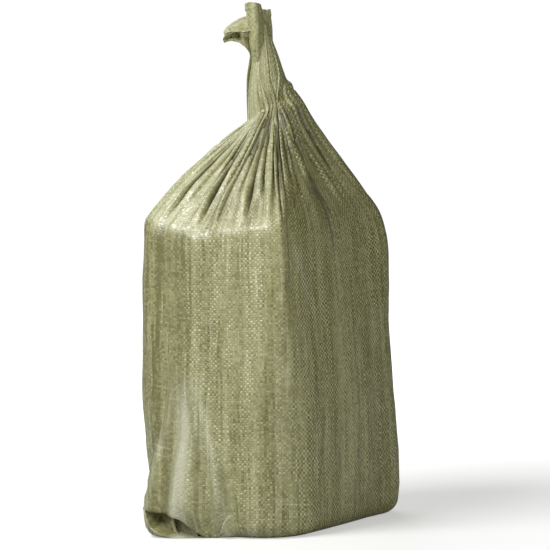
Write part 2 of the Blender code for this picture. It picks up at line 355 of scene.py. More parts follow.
def pocket_path(share, way):
    """Reach and height from the floor round the pocket's rim, into it, and out over its lip."""
    along = np.clip((counted_on(share) - TIP_SHARE) / (POCKET_END - TIP_SHARE), 0.0, 1.0)
    lip_up = at(LIP, along)
    lip_out = tent_out(TIP_SHARE + along * (POCKET_END - TIP_SHARE), lip_up)
    rim_out, rim_up = at(RIM_OUT, along), at(RIM_UP, along)
    wall_out, wall_up = at(WALL_OUT, along), at(WALL_UP, along)
    top_out = tent_out(share, LOW_TOP)
    above_up = mix(lip_up, LOW_TOP, 0.4)
    # At each stop the part of the way, the reach and the height
    stops = (
        (0.0, -BASE_ROUND, 0.0),
        (0.1, mix(-BASE_ROUND, rim_out, 0.6), 0.0),
        (0.2, rim_out - 0.001, mix(0.0, rim_up, 0.4)),
        (0.25, rim_out, rim_up + 0.0012),
        (0.29, rim_out - 0.002, rim_up + 0.0024),
        (0.4, mix(rim_out, wall_out, 0.7), mix(rim_up, wall_up, 0.45)),
        (0.52, wall_out, wall_up),
        (0.63, mix(wall_out, lip_out, 0.35), mix(wall_up, lip_up, 0.72)),
        (0.72, lip_out - 0.003, lip_up - 0.0036),
        (0.76, lip_out - 0.0003, lip_up - 0.002),
        (0.8, lip_out + 0.0008, lip_up + 0.0006),
        (0.88, tent_out(share, above_up), above_up),
        (1.0, top_out, LOW_TOP),
    )
    for (start, out, up), (end, next_out, next_up) in zip(stops, stops[1:]):
        if way <= end + 1e-9:
            part = (way - start) / (end - start)
            return mix(out, next_out, part), mix(up, next_up, part) + np.zeros_like(share)


def low_ring(share, way):
    """The sack's foot, with the pocket where the corner is tucked in."""
    foot_out, foot_up = foot_path(share, way)
    pocket_out, pocket_up = pocket_path(share, way)
    count = counted_on(share)
    tucked = rise(count, *POCKET_OPENS) * rise(count, *POCKET_CLOSES)
    out = mix(foot_out, pocket_out, tucked)
    up = np.maximum(mix(foot_up, pocket_up, tucked), 0.0)
    ring = body_ring(share, up, np.maximum(-out, 0.0))
    return ring + outward(share) * np.maximum(out, 0.0)[:, None]


def base_ring(share, way):
    return body_ring(share, 0.0, mix(BODY_WIDTH / 2 - BASE_GAP, BASE_ROUND, way))


def side_ring(share, way):
    height = mix(LOW_TOP, EDGE_HEIGHT, way)
    return body_ring(share, height) + outward(share) * tent_out(share, height)[:, None]


def neck_ring(share, height, radius):
    lean = (height - GATHER_HEIGHT) / (MOUTH_TOP - GATHER_HEIGHT)
    right = mix(GATHER_OFFSET, MOUTH_OFFSET, lean) + radius * rightness(share)
    away = radius * np.sin(angle_of(share) - VIEW_AZIMUTH)
    return placed(right, away, height)


def cone_ring(share, up):
    """The plain cone, from the load's edge at 0 up to the gather at 1."""
    side = (1 + rightness(share)) / 2
    narrowing = mix(up, up**2, at(FULLNESS, share % 1.0))
    start = EDGE_HEIGHT + mix(LEFT_RISE, RIGHT_RISE, side) * cornerness(share)
    end = GATHER_HEIGHT + GATHER_TILT * rightness(share)
    low = body_ring(share, EDGE_HEIGHT)
    high = neck_ring(share, GATHER_HEIGHT, GATHER_RADIUS)
    ring = mix(low, high, narrowing[:, None])
    ring[:, 2] = mix(start, end, up)
    return ring


def upper_ring(share, up):
    """The neck's core, from the gather at 0 up to its end inside the mouth at 1."""
    height = mix(NECK_HEIGHTS[0], NECK_HEIGHTS[-1], up)
    ring = neck_ring(share, height, np.interp(height, NECK_HEIGHTS, NECK_RADII))
    tilted = rise(height, GATHER_HEIGHT + NECK_LEVEL, GATHER_HEIGHT)
    ring[:, 2] += GATHER_TILT * tilted * rightness(share)
    return ring


def plain_surface():
    """The sack without pleats: its rings of points, and for each ring its part and way up it."""
    share = np.arange(FINE) / FINE
    parts = (
        ("base", base_ring, np.arange(BASE_ROWS) / BASE_ROWS),
        ("low", low_ring, np.linspace(0, 1, LOW_ROWS)),
        ("body", side_ring, 1 - (1 - np.arange(1, BODY_ROWS) / BODY_ROWS) ** BODY_ROW_BEND),
        ("cone", cone_ring, np.arange(CONE_ROWS) / CONE_ROWS),
        ("upper", upper_ring, np.linspace(0, 1, UPPER_ROWS)),
    )
    rows = [(make_ring(share, way), kind, way) for kind, make_ring, ways in parts for way in ways]
    rings, kinds, ways = zip(*rows)
    rings = np.array(rings)
    edge = kinds.index("cone")
    on_right = rise((1 + rightness(share)) / 2, *SOFT_SIDE)[None, :, None]
    for turn in range(SOFT_TURNS):
        softened = (rings[:-2] + 2 * rings[1:-1] + rings[2:]) / 4
        reach = SOFT_ROWS + turn // TURNS_A_ROW
        rows = slice(edge - reach - 1, edge + reach - 1)
        strength = 1.0 if turn < EVEN_TURNS else on_right
        rings[1:-1][rows] = mix(rings[1:-1][rows], softened[rows], strength)
    return rings, kinds, ways


def normals_of(rings):
    """The outward normals of the plain surface."""
    along = np.roll(rings, -1, axis=1) - np.roll(rings, 1, axis=1)
    return unit(np.cross(along, np.gradient(rings, axis=0)))


# The pleats that the photograph shows: the share where each ends at the load's edge and at the
# gather, the place and the bend of its ridge, where up the cone it starts, and its spare cloth
FIRST_PLEAT = (0.885, 0.89)
PLEATS = (
    (0.899, 0.912, 0.5, 0.9, 0.5, 0),
    (0.913, 0.935, 0.5, 0.9, 0.42, 0),
    (0.927, 0.957, 0.4, 0.9, 0.0, 0),
    (0.944, 0.982, 0.35, 0.8, 0.22, 0),
    (0.962, 1.0, 0.5, 0.9, 0.5, 0),
    (0.979, 1.016, 0.45, 0.9, 0.0, 0),
    (0.994, 1.05, 0.45, 0.9, 0.32, 0),
    (1.008, 1.078, 0.45, 0.9, 0.0, 0),
    (1.031, 1.088, 0.5, 1.0, 0.28, 0),
    (1.055, 1.1, 0.5, 1.0, 0.05, 0),
    (1.078, 1.104, 0.5, 0.8, 0.24, 0),
    (1.101, 1.11, 0.55, 0.5, 0.04, 0),
    (1.113, 1.118, 0.5, 0.4, 0.0, 0),
    (1.126, 1.131, 0.45, 0.4, -0.02, 0),
    (1.152, 1.134, 0.5, 0.8, 0.14, 0),
    (1.179, 1.137, 0.5, 0.8, 0.26, 0),
    (1.207, 1.14, 0.5, 0.8, 0.4, 0),
    (1.239, 1.144, 0.6, 0.8, 0.3, 0),
    (1.286, 1.175, 0.45, 0.8, 0.45, 0.03),
    (1.313, 1.205, 0.45, 0.8, 0.08, 0),
    (1.338, 1.25, 0.5, 0.8, 0.1, 0),
    (1.372, 1.305, 0.5, 0.9, 0.14, 0),
    (1.41, 1.372, 0.5, 0.9, 0.16, 0),
)
# The main valleys, lapped by the panels on their right: the share at the load's edge, where up the
# cone each starts and has grown, its depth and width, and how far the lap stands proud and reaches
MAIN_VALLEYS = (
    (0.927, 0.02, 0.4, 0.0115, 0.0055, 0.0012, 0.0022),
    (0.962, 0.35, 0.75, 0.006, 0.004, 0.0006, 0.001),
    (0.979, 0.0, 0.38, 0.012, 0.0055, 0.0012, 0.0024),
    (1.008, -0.06, 0.34, 0.0125, 0.0055, 0.0012, 0.0026),
    (1.031, 0.22, 0.62, 0.006, 0.004, 0.0006, 0.001),
    (1.055, -0.02, 0.38, 0.0105, 0.005, 0.001, 0.002),
    (1.078, 0.1, 0.5, 0.0055, 0.0035, 0.0006, 0.001),
    (1.113, -0.02, 0.4, 0.009, 0.0045, 0.001, 0.002),
    (1.152, 0.18, 0.55, 0.005, 0.0035, 0.0006, 0.001),
    (1.179, 0.08, 0.5, 0.007, 0.004, 0.001, 0.0018),
    (1.239, -0.32, 0.1, 0.01, 0.003, 0.0026, 0.0034),
    (1.338, 0.12, 0.6, 0.005, 0.004, 0.0006, 0.001),
)
# The part of its pleat that a valley may fill, how narrow its tip is, and where up it fades
VALLEY_ROOM = 0.45
VALLEY_TIP = 0.4
VALLEY_FADE = (1.0, 0.86)
# How far the lapped edge takes to stand up, to lie back over the valley, and to sink again
LAP_EDGE = 0.0016
LAP_REACH = 0.03
PROUD_REACH = 0.05
# The shade painted into the valleys: how dark an ordinary pleat's valley is next to a main one, how
# much of the pleat is darker, how softly a main valley's painted shade ends, and how far onto the
# lap
PAINTED_VALLEY_SHADE = 0.45
SHADED_PART = 0.16
SHADE_BEND = 0.7
PAINTED_EDGE_SHADE = 0.0008

# The tucks of the hidden sides: where each is laid and how near to that, its length, where it
# starts, its spare cloth, and the degrees that it leans over
HIDDEN_TUCKS = (1.455, 1.545, 1.625, 1.715, 1.795)
TUCK_NEAR = 0.016
TUCK_LENGTH = 0.032
TUCK_START = -1.5
TUCK_SPARES = (0.7, 1.0)
TUCK_LEAN = 66
# From here on they lean the other way
LAST_TUCK_FROM = 1.76
LOOSE_LENGTHS = (0.016, 0.04)
LOOSE_STARTS = (0.0, 0.22)
LOOSE_RIDGES = (0.3, 0.7)
LOOSE_BENDS = (0.35, 0.8)
SHORTEST = 0.014
# From here on the left side is smooth until high up
SMOOTH_FROM = 1.81
SMOOTH_START = 0.6
# Where up the cone a tuck starts to stand up, and where it is upright if it leans right, or left
LEAN_START = 0.05
LEAN_ENDS = (0.45, 1.3)


def all_pleats():
    """The pleats of the photograph, and others like them round the sides that it hides.

    The columns of PLEATS, and the degrees that each leans over to the right.
    """
    draw = random.Random(SEED)
    pleats = [(*pleat, 0) for pleat in PLEATS]
    last, last_top = PLEATS[-1][:2]
    end, end_top = FIRST_PLEAT[0] + 1, FIRST_PLEAT[1] + 1
    while pleats[-1][0] < end:
        tuck = any(abs(pleats[-1][0] - place) < TUCK_NEAR for place in HIDDEN_TUCKS)
        place = pleats[-1][0] + (TUCK_LENGTH if tuck else draw.uniform(*LOOSE_LENGTHS))
        if end - place < SHORTEST:
            place = end
        top = mix(last_top, end_top, (place - last) / (end - last))
        if tuck:
            lean = TUCK_LEAN if place < LAST_TUCK_FROM else -TUCK_LEAN
            rest = (TUCK_START, draw.uniform(*TUCK_SPARES), lean)
        else:
            start = draw.uniform(*LOOSE_STARTS)
            rest = (SMOOTH_START if place > SMOOTH_FROM else start, 0, 0)
        ridge, bend = draw.uniform(*LOOSE_RIDGES), draw.uniform(*LOOSE_BENDS)
        pleats.append((place, top, ridge, bend, *rest))
    return np.array(pleats).T


# How evenly the pleats share the columns by length, and the weight of a hidden pleat
COLUMN_SHARING = 0.6
HIDDEN_WEIGHT = 0.75
FEWEST_COLUMNS = 7
# How steeply the cloth leaves a valley, over what part of the pleat, and its bend over the crest
VALLEY_SLOPE = 0.8
VALLEY_PART = 0.1
CREST_BEND = 1.5
MOST_SWING = 3.0
SWING_STEPS = 22


def pleat_columns(lengths):
    """For each column its pleat and its way across it, so that each valley has a column."""
    shown = np.arange(len(lengths)) < len(PLEATS)
    weights = lengths**COLUMN_SHARING * np.where(shown, 1.0, HIDDEN_WEIGHT)
    counts = np.maximum(np.round(weights / weights.sum() * COLUMNS).astype(int), FEWEST_COLUMNS)
    counts[counts.argmax()] += COLUMNS - counts.sum()
    index = np.repeat(np.arange(len(counts)), counts)
    firsts = sums_to(counts)[:-1].astype(int)
    return index, firsts, counts, (np.arange(COLUMNS) - firsts[index] + 0.5) / counts[index]


def pleat_headings(ridge, bend, way):
    """The way that the cloth heads across each pleat: out from its valley, over its ridge, in."""
    rising = way < ridge
    part = np.where(rising, way / ridge, (1 - way) / (1 - ridge))
    crest = smooth((1 - part) / bend)
    valley = mix(VALLEY_SLOPE, 1.0, smooth(part / VALLEY_PART))
    steep = np.where(rising, np.sqrt((1 - ridge) / ridge), -np.sqrt(ridge / (1 - ridge)))
    return steep * crest**CREST_BEND * valley


def fitting_swing(heading, index, firsts, counts, wanted):
    """How strongly each pleat swings to and fro, for the wanted mean step ahead."""
    low, high = np.zeros(len(counts)), np.full(len(counts), MOST_SWING)
    for _ in range(SWING_STEPS):
        swing = (low + high) / 2
        loose = np.add.reduceat(np.cos(swing[index] * heading), firsts) / counts > wanted
        low, high = np.where(loose, swing, low), np.where(loose, high, swing)
    return swing


def lap_valleys(spot, depth, shade, shares, places, up):
    """Sinks the main valleys into a row, laps the right panel over each, and paints shade in them.
    """
    around = places[-1] - places[0]
    for share, start, grown, groove, width, proud, lap in MAIN_VALLEYS:
        number = np.abs(shares - share).argmin()
        room = places[number + 1] - places[number]
        reach = rise(up, start, grown) * rise(up, *VALLEY_FADE)
        narrow = min(1.0, VALLEY_ROOM * room / width) * mix(VALLEY_TIP, 1.0, reach)
        apart = (spot - places[number + 1] + around / 2) % around - around / 2
        beyond = np.maximum(apart, 0.0)
        on_right = apart >= 0
        dip = reach * np.exp(-((apart / (width * narrow)) ** 2)) * ~on_right
        # Shade painted down in each main valley and along the lapped edge to its right
        edge = reach * np.exp(-((apart / (PAINTED_EDGE_SHADE + proud)) ** 2)) * on_right
        shade = np.maximum(shade, dip**SHADE_BEND + edge)
        stands = smooth(apart / (LAP_EDGE * narrow)) * np.exp(-beyond / PROUD_REACH)
        depth = depth - groove * narrow * dip + reach * proud * stands
        spot = spot - reach * lap * narrow * on_right * np.exp(-beyond / (LAP_REACH * narrow))
    return spot, depth, shade


def lattice_noise(across, up, cells_across, seed):
    """Smooth noise from -1 to 1 that joins on the way round. Up is in cells too."""
    draw = np.random.default_rng(seed)
    rows = int(np.ceil(up.max() - up.min())) + 3
    values = draw.uniform(-1, 1, (rows, cells_across))
    u = across * cells_across
    v = up - up.min()
    column, row = np.floor(u).astype(int), np.floor(v).astype(int)
    s, t = smooth(u - column), smooth(v - row)
    here, after = column % cells_across, (column + 1) % cells_across
    low = mix(values[row, here], values[row, after], s)
    high = mix(values[row + 1, here], values[row + 1, after], s)
    return mix(low, high, t)


# The most cloth that a place holds, and the part of it that a full grip leaves slack
MOST_CLOTH = 3.4
FOLD_SLACK = 0.1
# How far up a pleat takes to be gripped, and how firm the grip is on the floor
GRIP_RISE = 0.3
FLOOR_GRIP = 0.2
# The body's way up, as the pleats' starts count it: from here to 0 at the load's edge
BODY_UP = -0.75
# How late by share the pleats drift to their tops, where the neck evens them, and its twist
DRIFT = ((1.11, 2.3), (1.16, 1.6))
NECK_EVENS = 0.45
NECK_TWIST = 0.05
# The part of a pleat under the plain surface: on the body, and in the cone from this way up
SUNK = (0.6, 0.88)
SUNK_FROM = 0.4
# The waves of the whole cloth: the height and length of each, how many run round, and its seed
WRINKLES = ((0.0011, 0.22, 46, 3), (0.0011, 0.045, 24, 5), (0.00035, 0.016, 90, 7))
NECK_WRINKLES = 0.3


def folded_cloth():
    """The cloth's points, the painted valley shade and ridge highlight of each, and its widths."""
    rings, kinds, ways = plain_surface()
    normals = normals_of(rings)
    shares, tops, ridges, bends, starts, spares, leans = all_pleats()
    low_ends = np.append(FIRST_PLEAT[0], shares)
    top_ends = np.append(FIRST_PLEAT[1], tops)
    edge_length = ring_steps(rings[kinds.index("cone")]).sum()
    cloth = np.diff(low_ends) * edge_length * (1 + spares)
    index, firsts, counts, way_across = pleat_columns(cloth)
    heading = pleat_headings(ridges[index], bends[index], way_across)
    even_ends = FIRST_PLEAT[1] + sums_to(cloth) / cloth.sum()
    folded = np.minimum(way_across, 1 - way_across)
    points, painted_shades, ridge_highlights = [], [], []
    for ring, normal, kind, way in zip(rings, normals, kinds, ways):
        lengths_to = sums_to(ring_steps(ring))
        around = lengths_to[-1]
        ends, up, firm = low_ends, -1.0, 1.0
        if kind == "base":
            firm = FLOOR_GRIP * way
        elif kind == "low":
            firm = mix(FLOOR_GRIP, 1.0, smooth(way))
        elif kind == "body":
            up = mix(BODY_UP, 0.0, way)
        elif kind == "cone":
            ends, up = mix(low_ends, top_ends, way ** at(DRIFT, low_ends)), way
        else:
            ends, up = mix(top_ends, even_ends + NECK_TWIST * way, smooth(way / NECK_EVENS)), 1.0
        grip = firm * smooth((up - starts) / GRIP_RISE)
        whole = np.floor(ends)
        places = np.interp((ends - whole) * FINE, np.arange(FINE + 1), lengths_to) + whole * around
        room = np.diff(places)
        held = np.clip(mix(room, cloth, grip), room, MOST_CLOTH * room)
        wanted = room * (1 - FOLD_SLACK * grip) / held
        swing = fitting_swing(heading, index, firsts, counts, wanted)
        angle = swing[index] * heading
        forward = np.cos(angle)
        forward_sums = np.add.reduceat(forward, firsts)
        before = np.cumsum(forward) - forward - sums_to(forward_sums)[index]
        spot = places[index] + room[index] * before / forward_sums[index]
        steps = np.sin(angle) * held[index] / counts[index]
        step_sums = np.add.reduceat(steps, firsts)
        depth = np.cumsum(steps) - steps - sums_to(step_sums)[index]
        depth -= step_sums[index] * (way_across - 0.5 / counts[index])
        upright = smooth((up - LEAN_START) / np.where(leans > 0, *LEAN_ENDS))
        laid = (np.radians(leans) * (1 - upright))[index]
        spot = spot + np.sin(laid) * np.maximum(depth, 0.0)
        depth = np.cos(laid) * depth
        peaks = np.maximum.reduceat(depth, firsts)
        spread = (np.roll(peaks, 1) + 2 * peaks + np.roll(peaks, -1)) / 4
        middles = (places[1:] + places[:-1]) / 2
        ring_middles = np.concatenate([middles - around, middles, middles + around])
        level = np.interp(spot, ring_middles, np.tile(spread, 3))
        depth -= level * mix(*SUNK, smooth(up / SUNK_FROM))
        # Shade painted into the valleys of the ordinary pleats
        shade = PAINTED_VALLEY_SHADE * np.minimum(swing[index], 1.0) * (1 - smooth(folded / SHADED_PART))
        spot, depth, shade = lap_valleys(spot, depth, shade, shares, places, up)
        fine = np.interp(spot % around, lengths_to, np.arange(FINE + 1))
        whole = np.floor(fine).astype(int)
        part = (fine - whole)[:, None]
        here = mix(ring[whole % FINE], ring[(whole + 1) % FINE], part)
        facing = mix(normal[whole % FINE], normal[(whole + 1) % FINE], part)
        points.append(here + facing * depth[:, None])
        painted_shades.append(shade)
        ridge_highlights.append(painted_ridge_highlight(fine / FINE, here[:, 2]))
    across = sums_to(cloth[index] / counts[index])
    return np.array(points), np.array(painted_shades), np.array(ridge_highlights), across, kinds


def wrinkled(points, kinds):
    """Small dents and lengthwise waves over the whole cloth."""
    rows, columns = points.shape[:2]
    share = np.broadcast_to((np.arange(columns) + 0.5) / columns, (rows, columns))
    steps = np.linalg.norm(np.diff(points, axis=0), axis=2).mean(axis=1)
    height = sums_to(steps)[:, None] + np.zeros(columns)
    bump = np.zeros((rows, columns))
    for tall, length, count, seed in WRINKLES:
        bump += tall * lattice_noise(share, height / length, count, seed)
    amount = np.array([0.0 if kind == "base" else 1.0 for kind in kinds])
    foot = kinds.index("body")
    amount[: foot + 1] *= smooth(np.linspace(-1, 1, foot + 1))
    amount[-UPPER_ROWS:] *= NECK_WRINKLES
    return points + normals_of(points) * (bump * amount[:, None])[..., None]


def placed_object(name, data):
    made = bpy.data.objects.new(name, data)
    bpy.context.scene.collection.objects.link(made)
    return made


def grid_object(name, points, across, up, joined=True):
    """A mesh of the grid of points, with its UV map in metres of flat cloth."""
    rows, columns = points.shape[:2]
    corner = np.arange(rows * columns).reshape(rows, columns)
    column = np.arange(columns if joined else columns - 1)
    after = (column + 1) % columns
    low, high = corner[:-1], corner[1:]
    faces = np.stack([low[:, column], low[:, after], high[:, after], high[:, column]], axis=-1)
    u = np.stack([across[column], across[column + 1], across[column + 1], across[column]], axis=-1)
    u = np.broadcast_to(u, faces.shape).ravel()
    faces = faces.reshape(-1, 4).tolist()
    if joined:
        base = corner[0, ::-1]
        faces.append(base.tolist())
        u = np.append(u, across[base])
    v = up.ravel()[np.concatenate(faces)]
    mesh = bpy.data.meshes.new(name)
    mesh.from_pydata(points.reshape(-1, 3).tolist(), [], faces)
    layer = mesh.uv_layers.new(name="flat cloth")
    layer.data.foreach_set("uv", np.stack([u, v], axis=-1).astype(np.float32).ravel())
    mesh.shade_smooth()
    return placed_object(name, mesh)


class Value:
    """What a node puts out, to reckon with."""

    def __init__(self, nodes, socket):
        self.nodes, self.socket = nodes, socket

    def __add__(self, other):
        return self.nodes.math("ADD", self, other)

    __radd__ = __add__

    def __sub__(self, other):
        return self.nodes.math("SUBTRACT", self, other)

    def __rsub__(self, other):
        return self.nodes.math("SUBTRACT", other, self)

    def __mul__(self, other):
        return self.nodes.math("MULTIPLY", self, other)

    def __pow__(self, other):
        return self.nodes.math("POWER", self, other)


class Nodes:
    """Short calls for building a node tree."""

    def __init__(self, tree):
        self.tree = tree

    def put(self, node, values):
        """Sets or links a node's inputs, by their names or places."""
        for key, value in values.items():
            if isinstance(value, Value):
                self.tree.links.new(value.socket, node.inputs[key])
            else:
                node.inputs[key].default_value = value

    def add(self, kind, *values, output=0, **settings):
        """The output of a new node, with values for its first inputs."""
        node = self.tree.nodes.new(kind)
        for key, value in settings.items():
            setattr(node, key, value)
        self.put(node, dict(enumerate(values)))
        return Value(self, node.outputs[output])

    def math(self, operation, *values):
        return self.add("ShaderNodeMath", *values, operation=operation)

    def random(self, *place):
        vector = self.add("ShaderNodeCombineXYZ", *place)
        return self.add("ShaderNodeTexWhiteNoise", vector, output="Value", noise_dimensions="3D")

    def noise(self, *place, detail=2.0):
        vector = self.add("ShaderNodeCombineXYZ", *place)
        values = (vector, 0.0, 1.0, detail)
        return self.add("ShaderNodeTexNoise", *values, output="Fac", noise_dimensions="3D")

    def ramp(self, *values):
        return self.add("ShaderNodeMapRange", *values, interpolation_type="SMOOTHSTEP")

    def mix_colour(self, share, first, second):
        """The colours are the mix node's inputs 6 and 7 and its output 2."""
        mixed = self.add("ShaderNodeMix", share, output=2, data_type="RGBA")
        self.put(mixed.socket.node, {6: first, 7: second})
        return mixed


def new_material(name):
    """A material, its shader and its nodes."""
    material = bpy.data.materials.new(name)
    material.use_nodes = True
    return material, material.node_tree.nodes["Principled BSDF"], Nodes(material.node_tree)


TAPE = 0.0032
DEEP_OLIVE = (0.112, 0.106, 0.033, 1.0)
OLIVE = (0.245, 0.243, 0.114, 1.0)
PALE_OLIVE = (0.415, 0.424, 0.262, 1.0)
# The colour of the shade painted into the valleys
PAINTED_SHADE_OLIVE = (0.052, 0.049, 0.017, 1.0)
# The colour of the painted highlights
HIGHLIGHT_OLIVE = (0.52, 0.53, 0.42, 1.0)
BUMP_HEIGHT = 0.0008
# Where round the cloth the calm strip ends, how far before the cloth's end it starts, and where
# the right face lies
STRIP_ENDS = (0.06, 0.11)
STRIP_STARTS = (0.06, 0.03)
RIGHT_STARTS = (0.215, 0.265)
RIGHT_ENDS = (0.5, 0.55)
# The strip's tone below and above the load's edge: painted shade below it, a painted highlight
# above
STRIP_SHADE_AND_HIGHLIGHT = (-0.26, 0.22)
EDGE_BLUR = 0.012
# Faint lines where the flat sack was folded: how far up from the load's edge, from where to where
# round the cloth, and how a line fades
PRESSED_LINES = (
    (-0.29, 0.026, 0.062), (-0.301, 0.03, 0.06), (-0.292, 0.006, 0.02), (-0.362, 0.215, 0.262),
)
PRESSED_FADE = (0.0008, 0.0018)
# A paler streak on the right face, a highlight painted along a fold: its ends, up from the load's
# edge and round the cloth, its width, and how far its ends fade
STREAK_HIGHLIGHT_FROM = (-0.028, 0.253)
STREAK_HIGHLIGHT_TO = (-0.108, 0.288)
STREAK_HIGHLIGHT_WIDTH = 0.011
STREAK_HIGHLIGHT_FADE = 0.02


def woven_tape_material(around):
    """Flat glossy tapes in plain weave. Around is the flat cloth's length round the sack."""
    material, shader, n = new_material("woven_tape")
    uv = n.add("ShaderNodeUVMap", uv_map="flat cloth")
    u, v = (n.add("ShaderNodeSeparateXYZ", uv, output=axis) for axis in (0, 1))

    # Each crossing of the tapes, which wander a little: its column and row, and the place in it
    wander = n.noise(u * 16.0, v * 16.0)
    wide = n.noise(u * 150.0, v * 5.0, detail=1.0)
    tall = n.noise(u * 5.0, v * 150.0, 2.0, detail=1.0)
    across = n.math("DIVIDE", u, TAPE) + wander * 2.6 + wide * 1.1
    along = n.math("DIVIDE", v, TAPE) + wander * 2.2 + tall * 0.9
    column, row = n.math("FLOOR", across), n.math("FLOOR", along)
    in_column, in_row = n.math("FRACT", across) - 0.5, n.math("FRACT", along) - 0.5
    over = n.math("FLOORED_MODULO", column + row, 2.0)
    under = 1.0 - over
    arch = n.math("COSINE", in_column * math.pi)
    hump = arch * n.math("COSINE", in_row * math.pi)

    # How lively the weave is from tape to tape, and on which part of the cloth
    strip = n.ramp(u, *STRIP_ENDS, 1.0, 0.0)
    strip += n.ramp(u, around - STRIP_STARTS[0], around - STRIP_STARTS[1])
    right = n.ramp(u, *RIGHT_STARTS) * n.ramp(u, *RIGHT_ENDS, 1.0, 0.0)
    lively = n.ramp(n.noise(column * 0.37, v * 3.0, 12.0, detail=1.0), 0.36, 0.62, 0.25, 1.0)
    lively *= (strip * -0.6 + 1.0) * (right * 0.25 + 0.75)
    strip *= n.math("LESS_THAN", u, around)

    # The height of the tapes: the lengthwise ones stand out, and the crosswise ones lie flat
    flat = 1.0 - n.math("ABSOLUTE", in_row * 2.0) ** 4.0
    height = hump**1.3 * over * lively + flat * (arch * 0.3 + 0.7) * under * 0.08

    # The tone of the cloth, from 0 for deep over 0.5 to 1 for pale
    cell_tone = n.random(column, row, 5.0)
    tape_tone = n.random(column, 3.0) * over + n.random(row, 17.0) * under * 0.6
    streak = n.noise(u * 60.0, v * 2.2, detail=3.0)
    thread = n.noise(column * 0.9, v * 9.0, 6.0)
    patch = n.noise(u * 14.0, v * 7.0, 4.0)
    grain = n.noise(u * 900.0, v * 500.0, detail=1.0)
    # The weave's checker, partly pattern and partly painted light: more contrast painted on the
    # right face, where grazing light would catch the raised tapes, and painted glints on some
    # raised tapes
    tone = 0.5 + hump * (over - under) * lively * (right * 0.5 + 0.13)
    tone += hump * over * cell_tone**3.0 * lively * (right * 0.55 + 0.3)
    # Painted shade on the left strip below the load's edge, and a painted highlight above it
    tone += strip * n.ramp(v, -EDGE_BLUR, EDGE_BLUR, *STRIP_SHADE_AND_HIGHLIGHT)
    for up, first, last in PRESSED_LINES:
        line = n.ramp(n.math("ABSOLUTE", v - up), *PRESSED_FADE, 1.0, 0.0) * 0.35
        tone += line * n.math("GREATER_THAN", u, first) * n.math("LESS_THAN", u, last)
    for pattern, middle, amount in (
        (tape_tone, 0.4, 0.2),
        (streak, 0.5, 1.1),
        (thread, 0.5, 1.2),
        (cell_tone, 0.5, 0.4),
        (grain, 0.5, 0.9),
        (patch, 0.5, 0.4),
    ):
        tone += (pattern - middle) * amount

    # The painted highlights: a paler streak along a fold on the right face, and the tent's ridges
    slant = (STREAK_HIGHLIGHT_TO[1] - STREAK_HIGHLIGHT_FROM[1]) / (STREAK_HIGHLIGHT_TO[0] - STREAK_HIGHLIGHT_FROM[0])
    middle = v * slant + (STREAK_HIGHLIGHT_FROM[1] - slant * STREAK_HIGHLIGHT_FROM[0])
    streak_highlight = n.ramp(n.math("ABSOLUTE", u - middle), 0.2 * STREAK_HIGHLIGHT_WIDTH, STREAK_HIGHLIGHT_WIDTH, 1.0, 0.0)
    streak_highlight *= n.ramp(v, STREAK_HIGHLIGHT_TO[0] - STREAK_HIGHLIGHT_FADE, STREAK_HIGHLIGHT_TO[0])
    streak_highlight *= n.ramp(v, STREAK_HIGHLIGHT_FROM[0], STREAK_HIGHLIGHT_FROM[0] + STREAK_HIGHLIGHT_FADE, 1.0, 0.0)
    streak_highlight *= hump * over * 1.1 + 0.06
    # The highlight painted on the tent's ridges and the shade painted in the valleys, kept on the
    # cloth
    ridges, valley = (
        n.add("ShaderNodeAttribute", output="Fac", attribute_name=name)
        for name in ("painted_ridge_highlight", "valley")
    )
    body = n.mix_colour(n.ramp(tone, 0.0, 0.5), DEEP_OLIVE, OLIVE)
    body = n.mix_colour(n.ramp(tone, 0.4, 1.05), body, PALE_OLIVE)
    body = n.mix_colour(n.ramp(height, 0.0, 0.3, 0.22, 0.0), body, DEEP_OLIVE)
    # Painted shade: the valleys darker
    body = n.mix_colour(n.ramp(valley, 0.05, 0.95, 0.0, 0.92), body, PAINTED_SHADE_OLIVE)
    # Painted highlights: the tent's ridges and the streak on the right face paler
    body = n.mix_colour(ridges * (grain * 0.5 + 0.3) + streak_highlight, body, HIGHLIGHT_OLIVE)
    bump = n.add("ShaderNodeBump")
    relief = height + cell_tone * 0.25
    n.put(bump.socket.node, {"Strength": 1.0, "Distance": BUMP_HEIGHT, "Height": relief})
    n.put(shader, {
        "Base Color": body,
        "Roughness": cell_tone**5.0 * -0.26 + 0.46,
        "Specular IOR Level": 0.6,
        "Coat Weight": 0.3,
        "Coat Roughness": 0.4,
        "Normal": bump,
    })
    return material


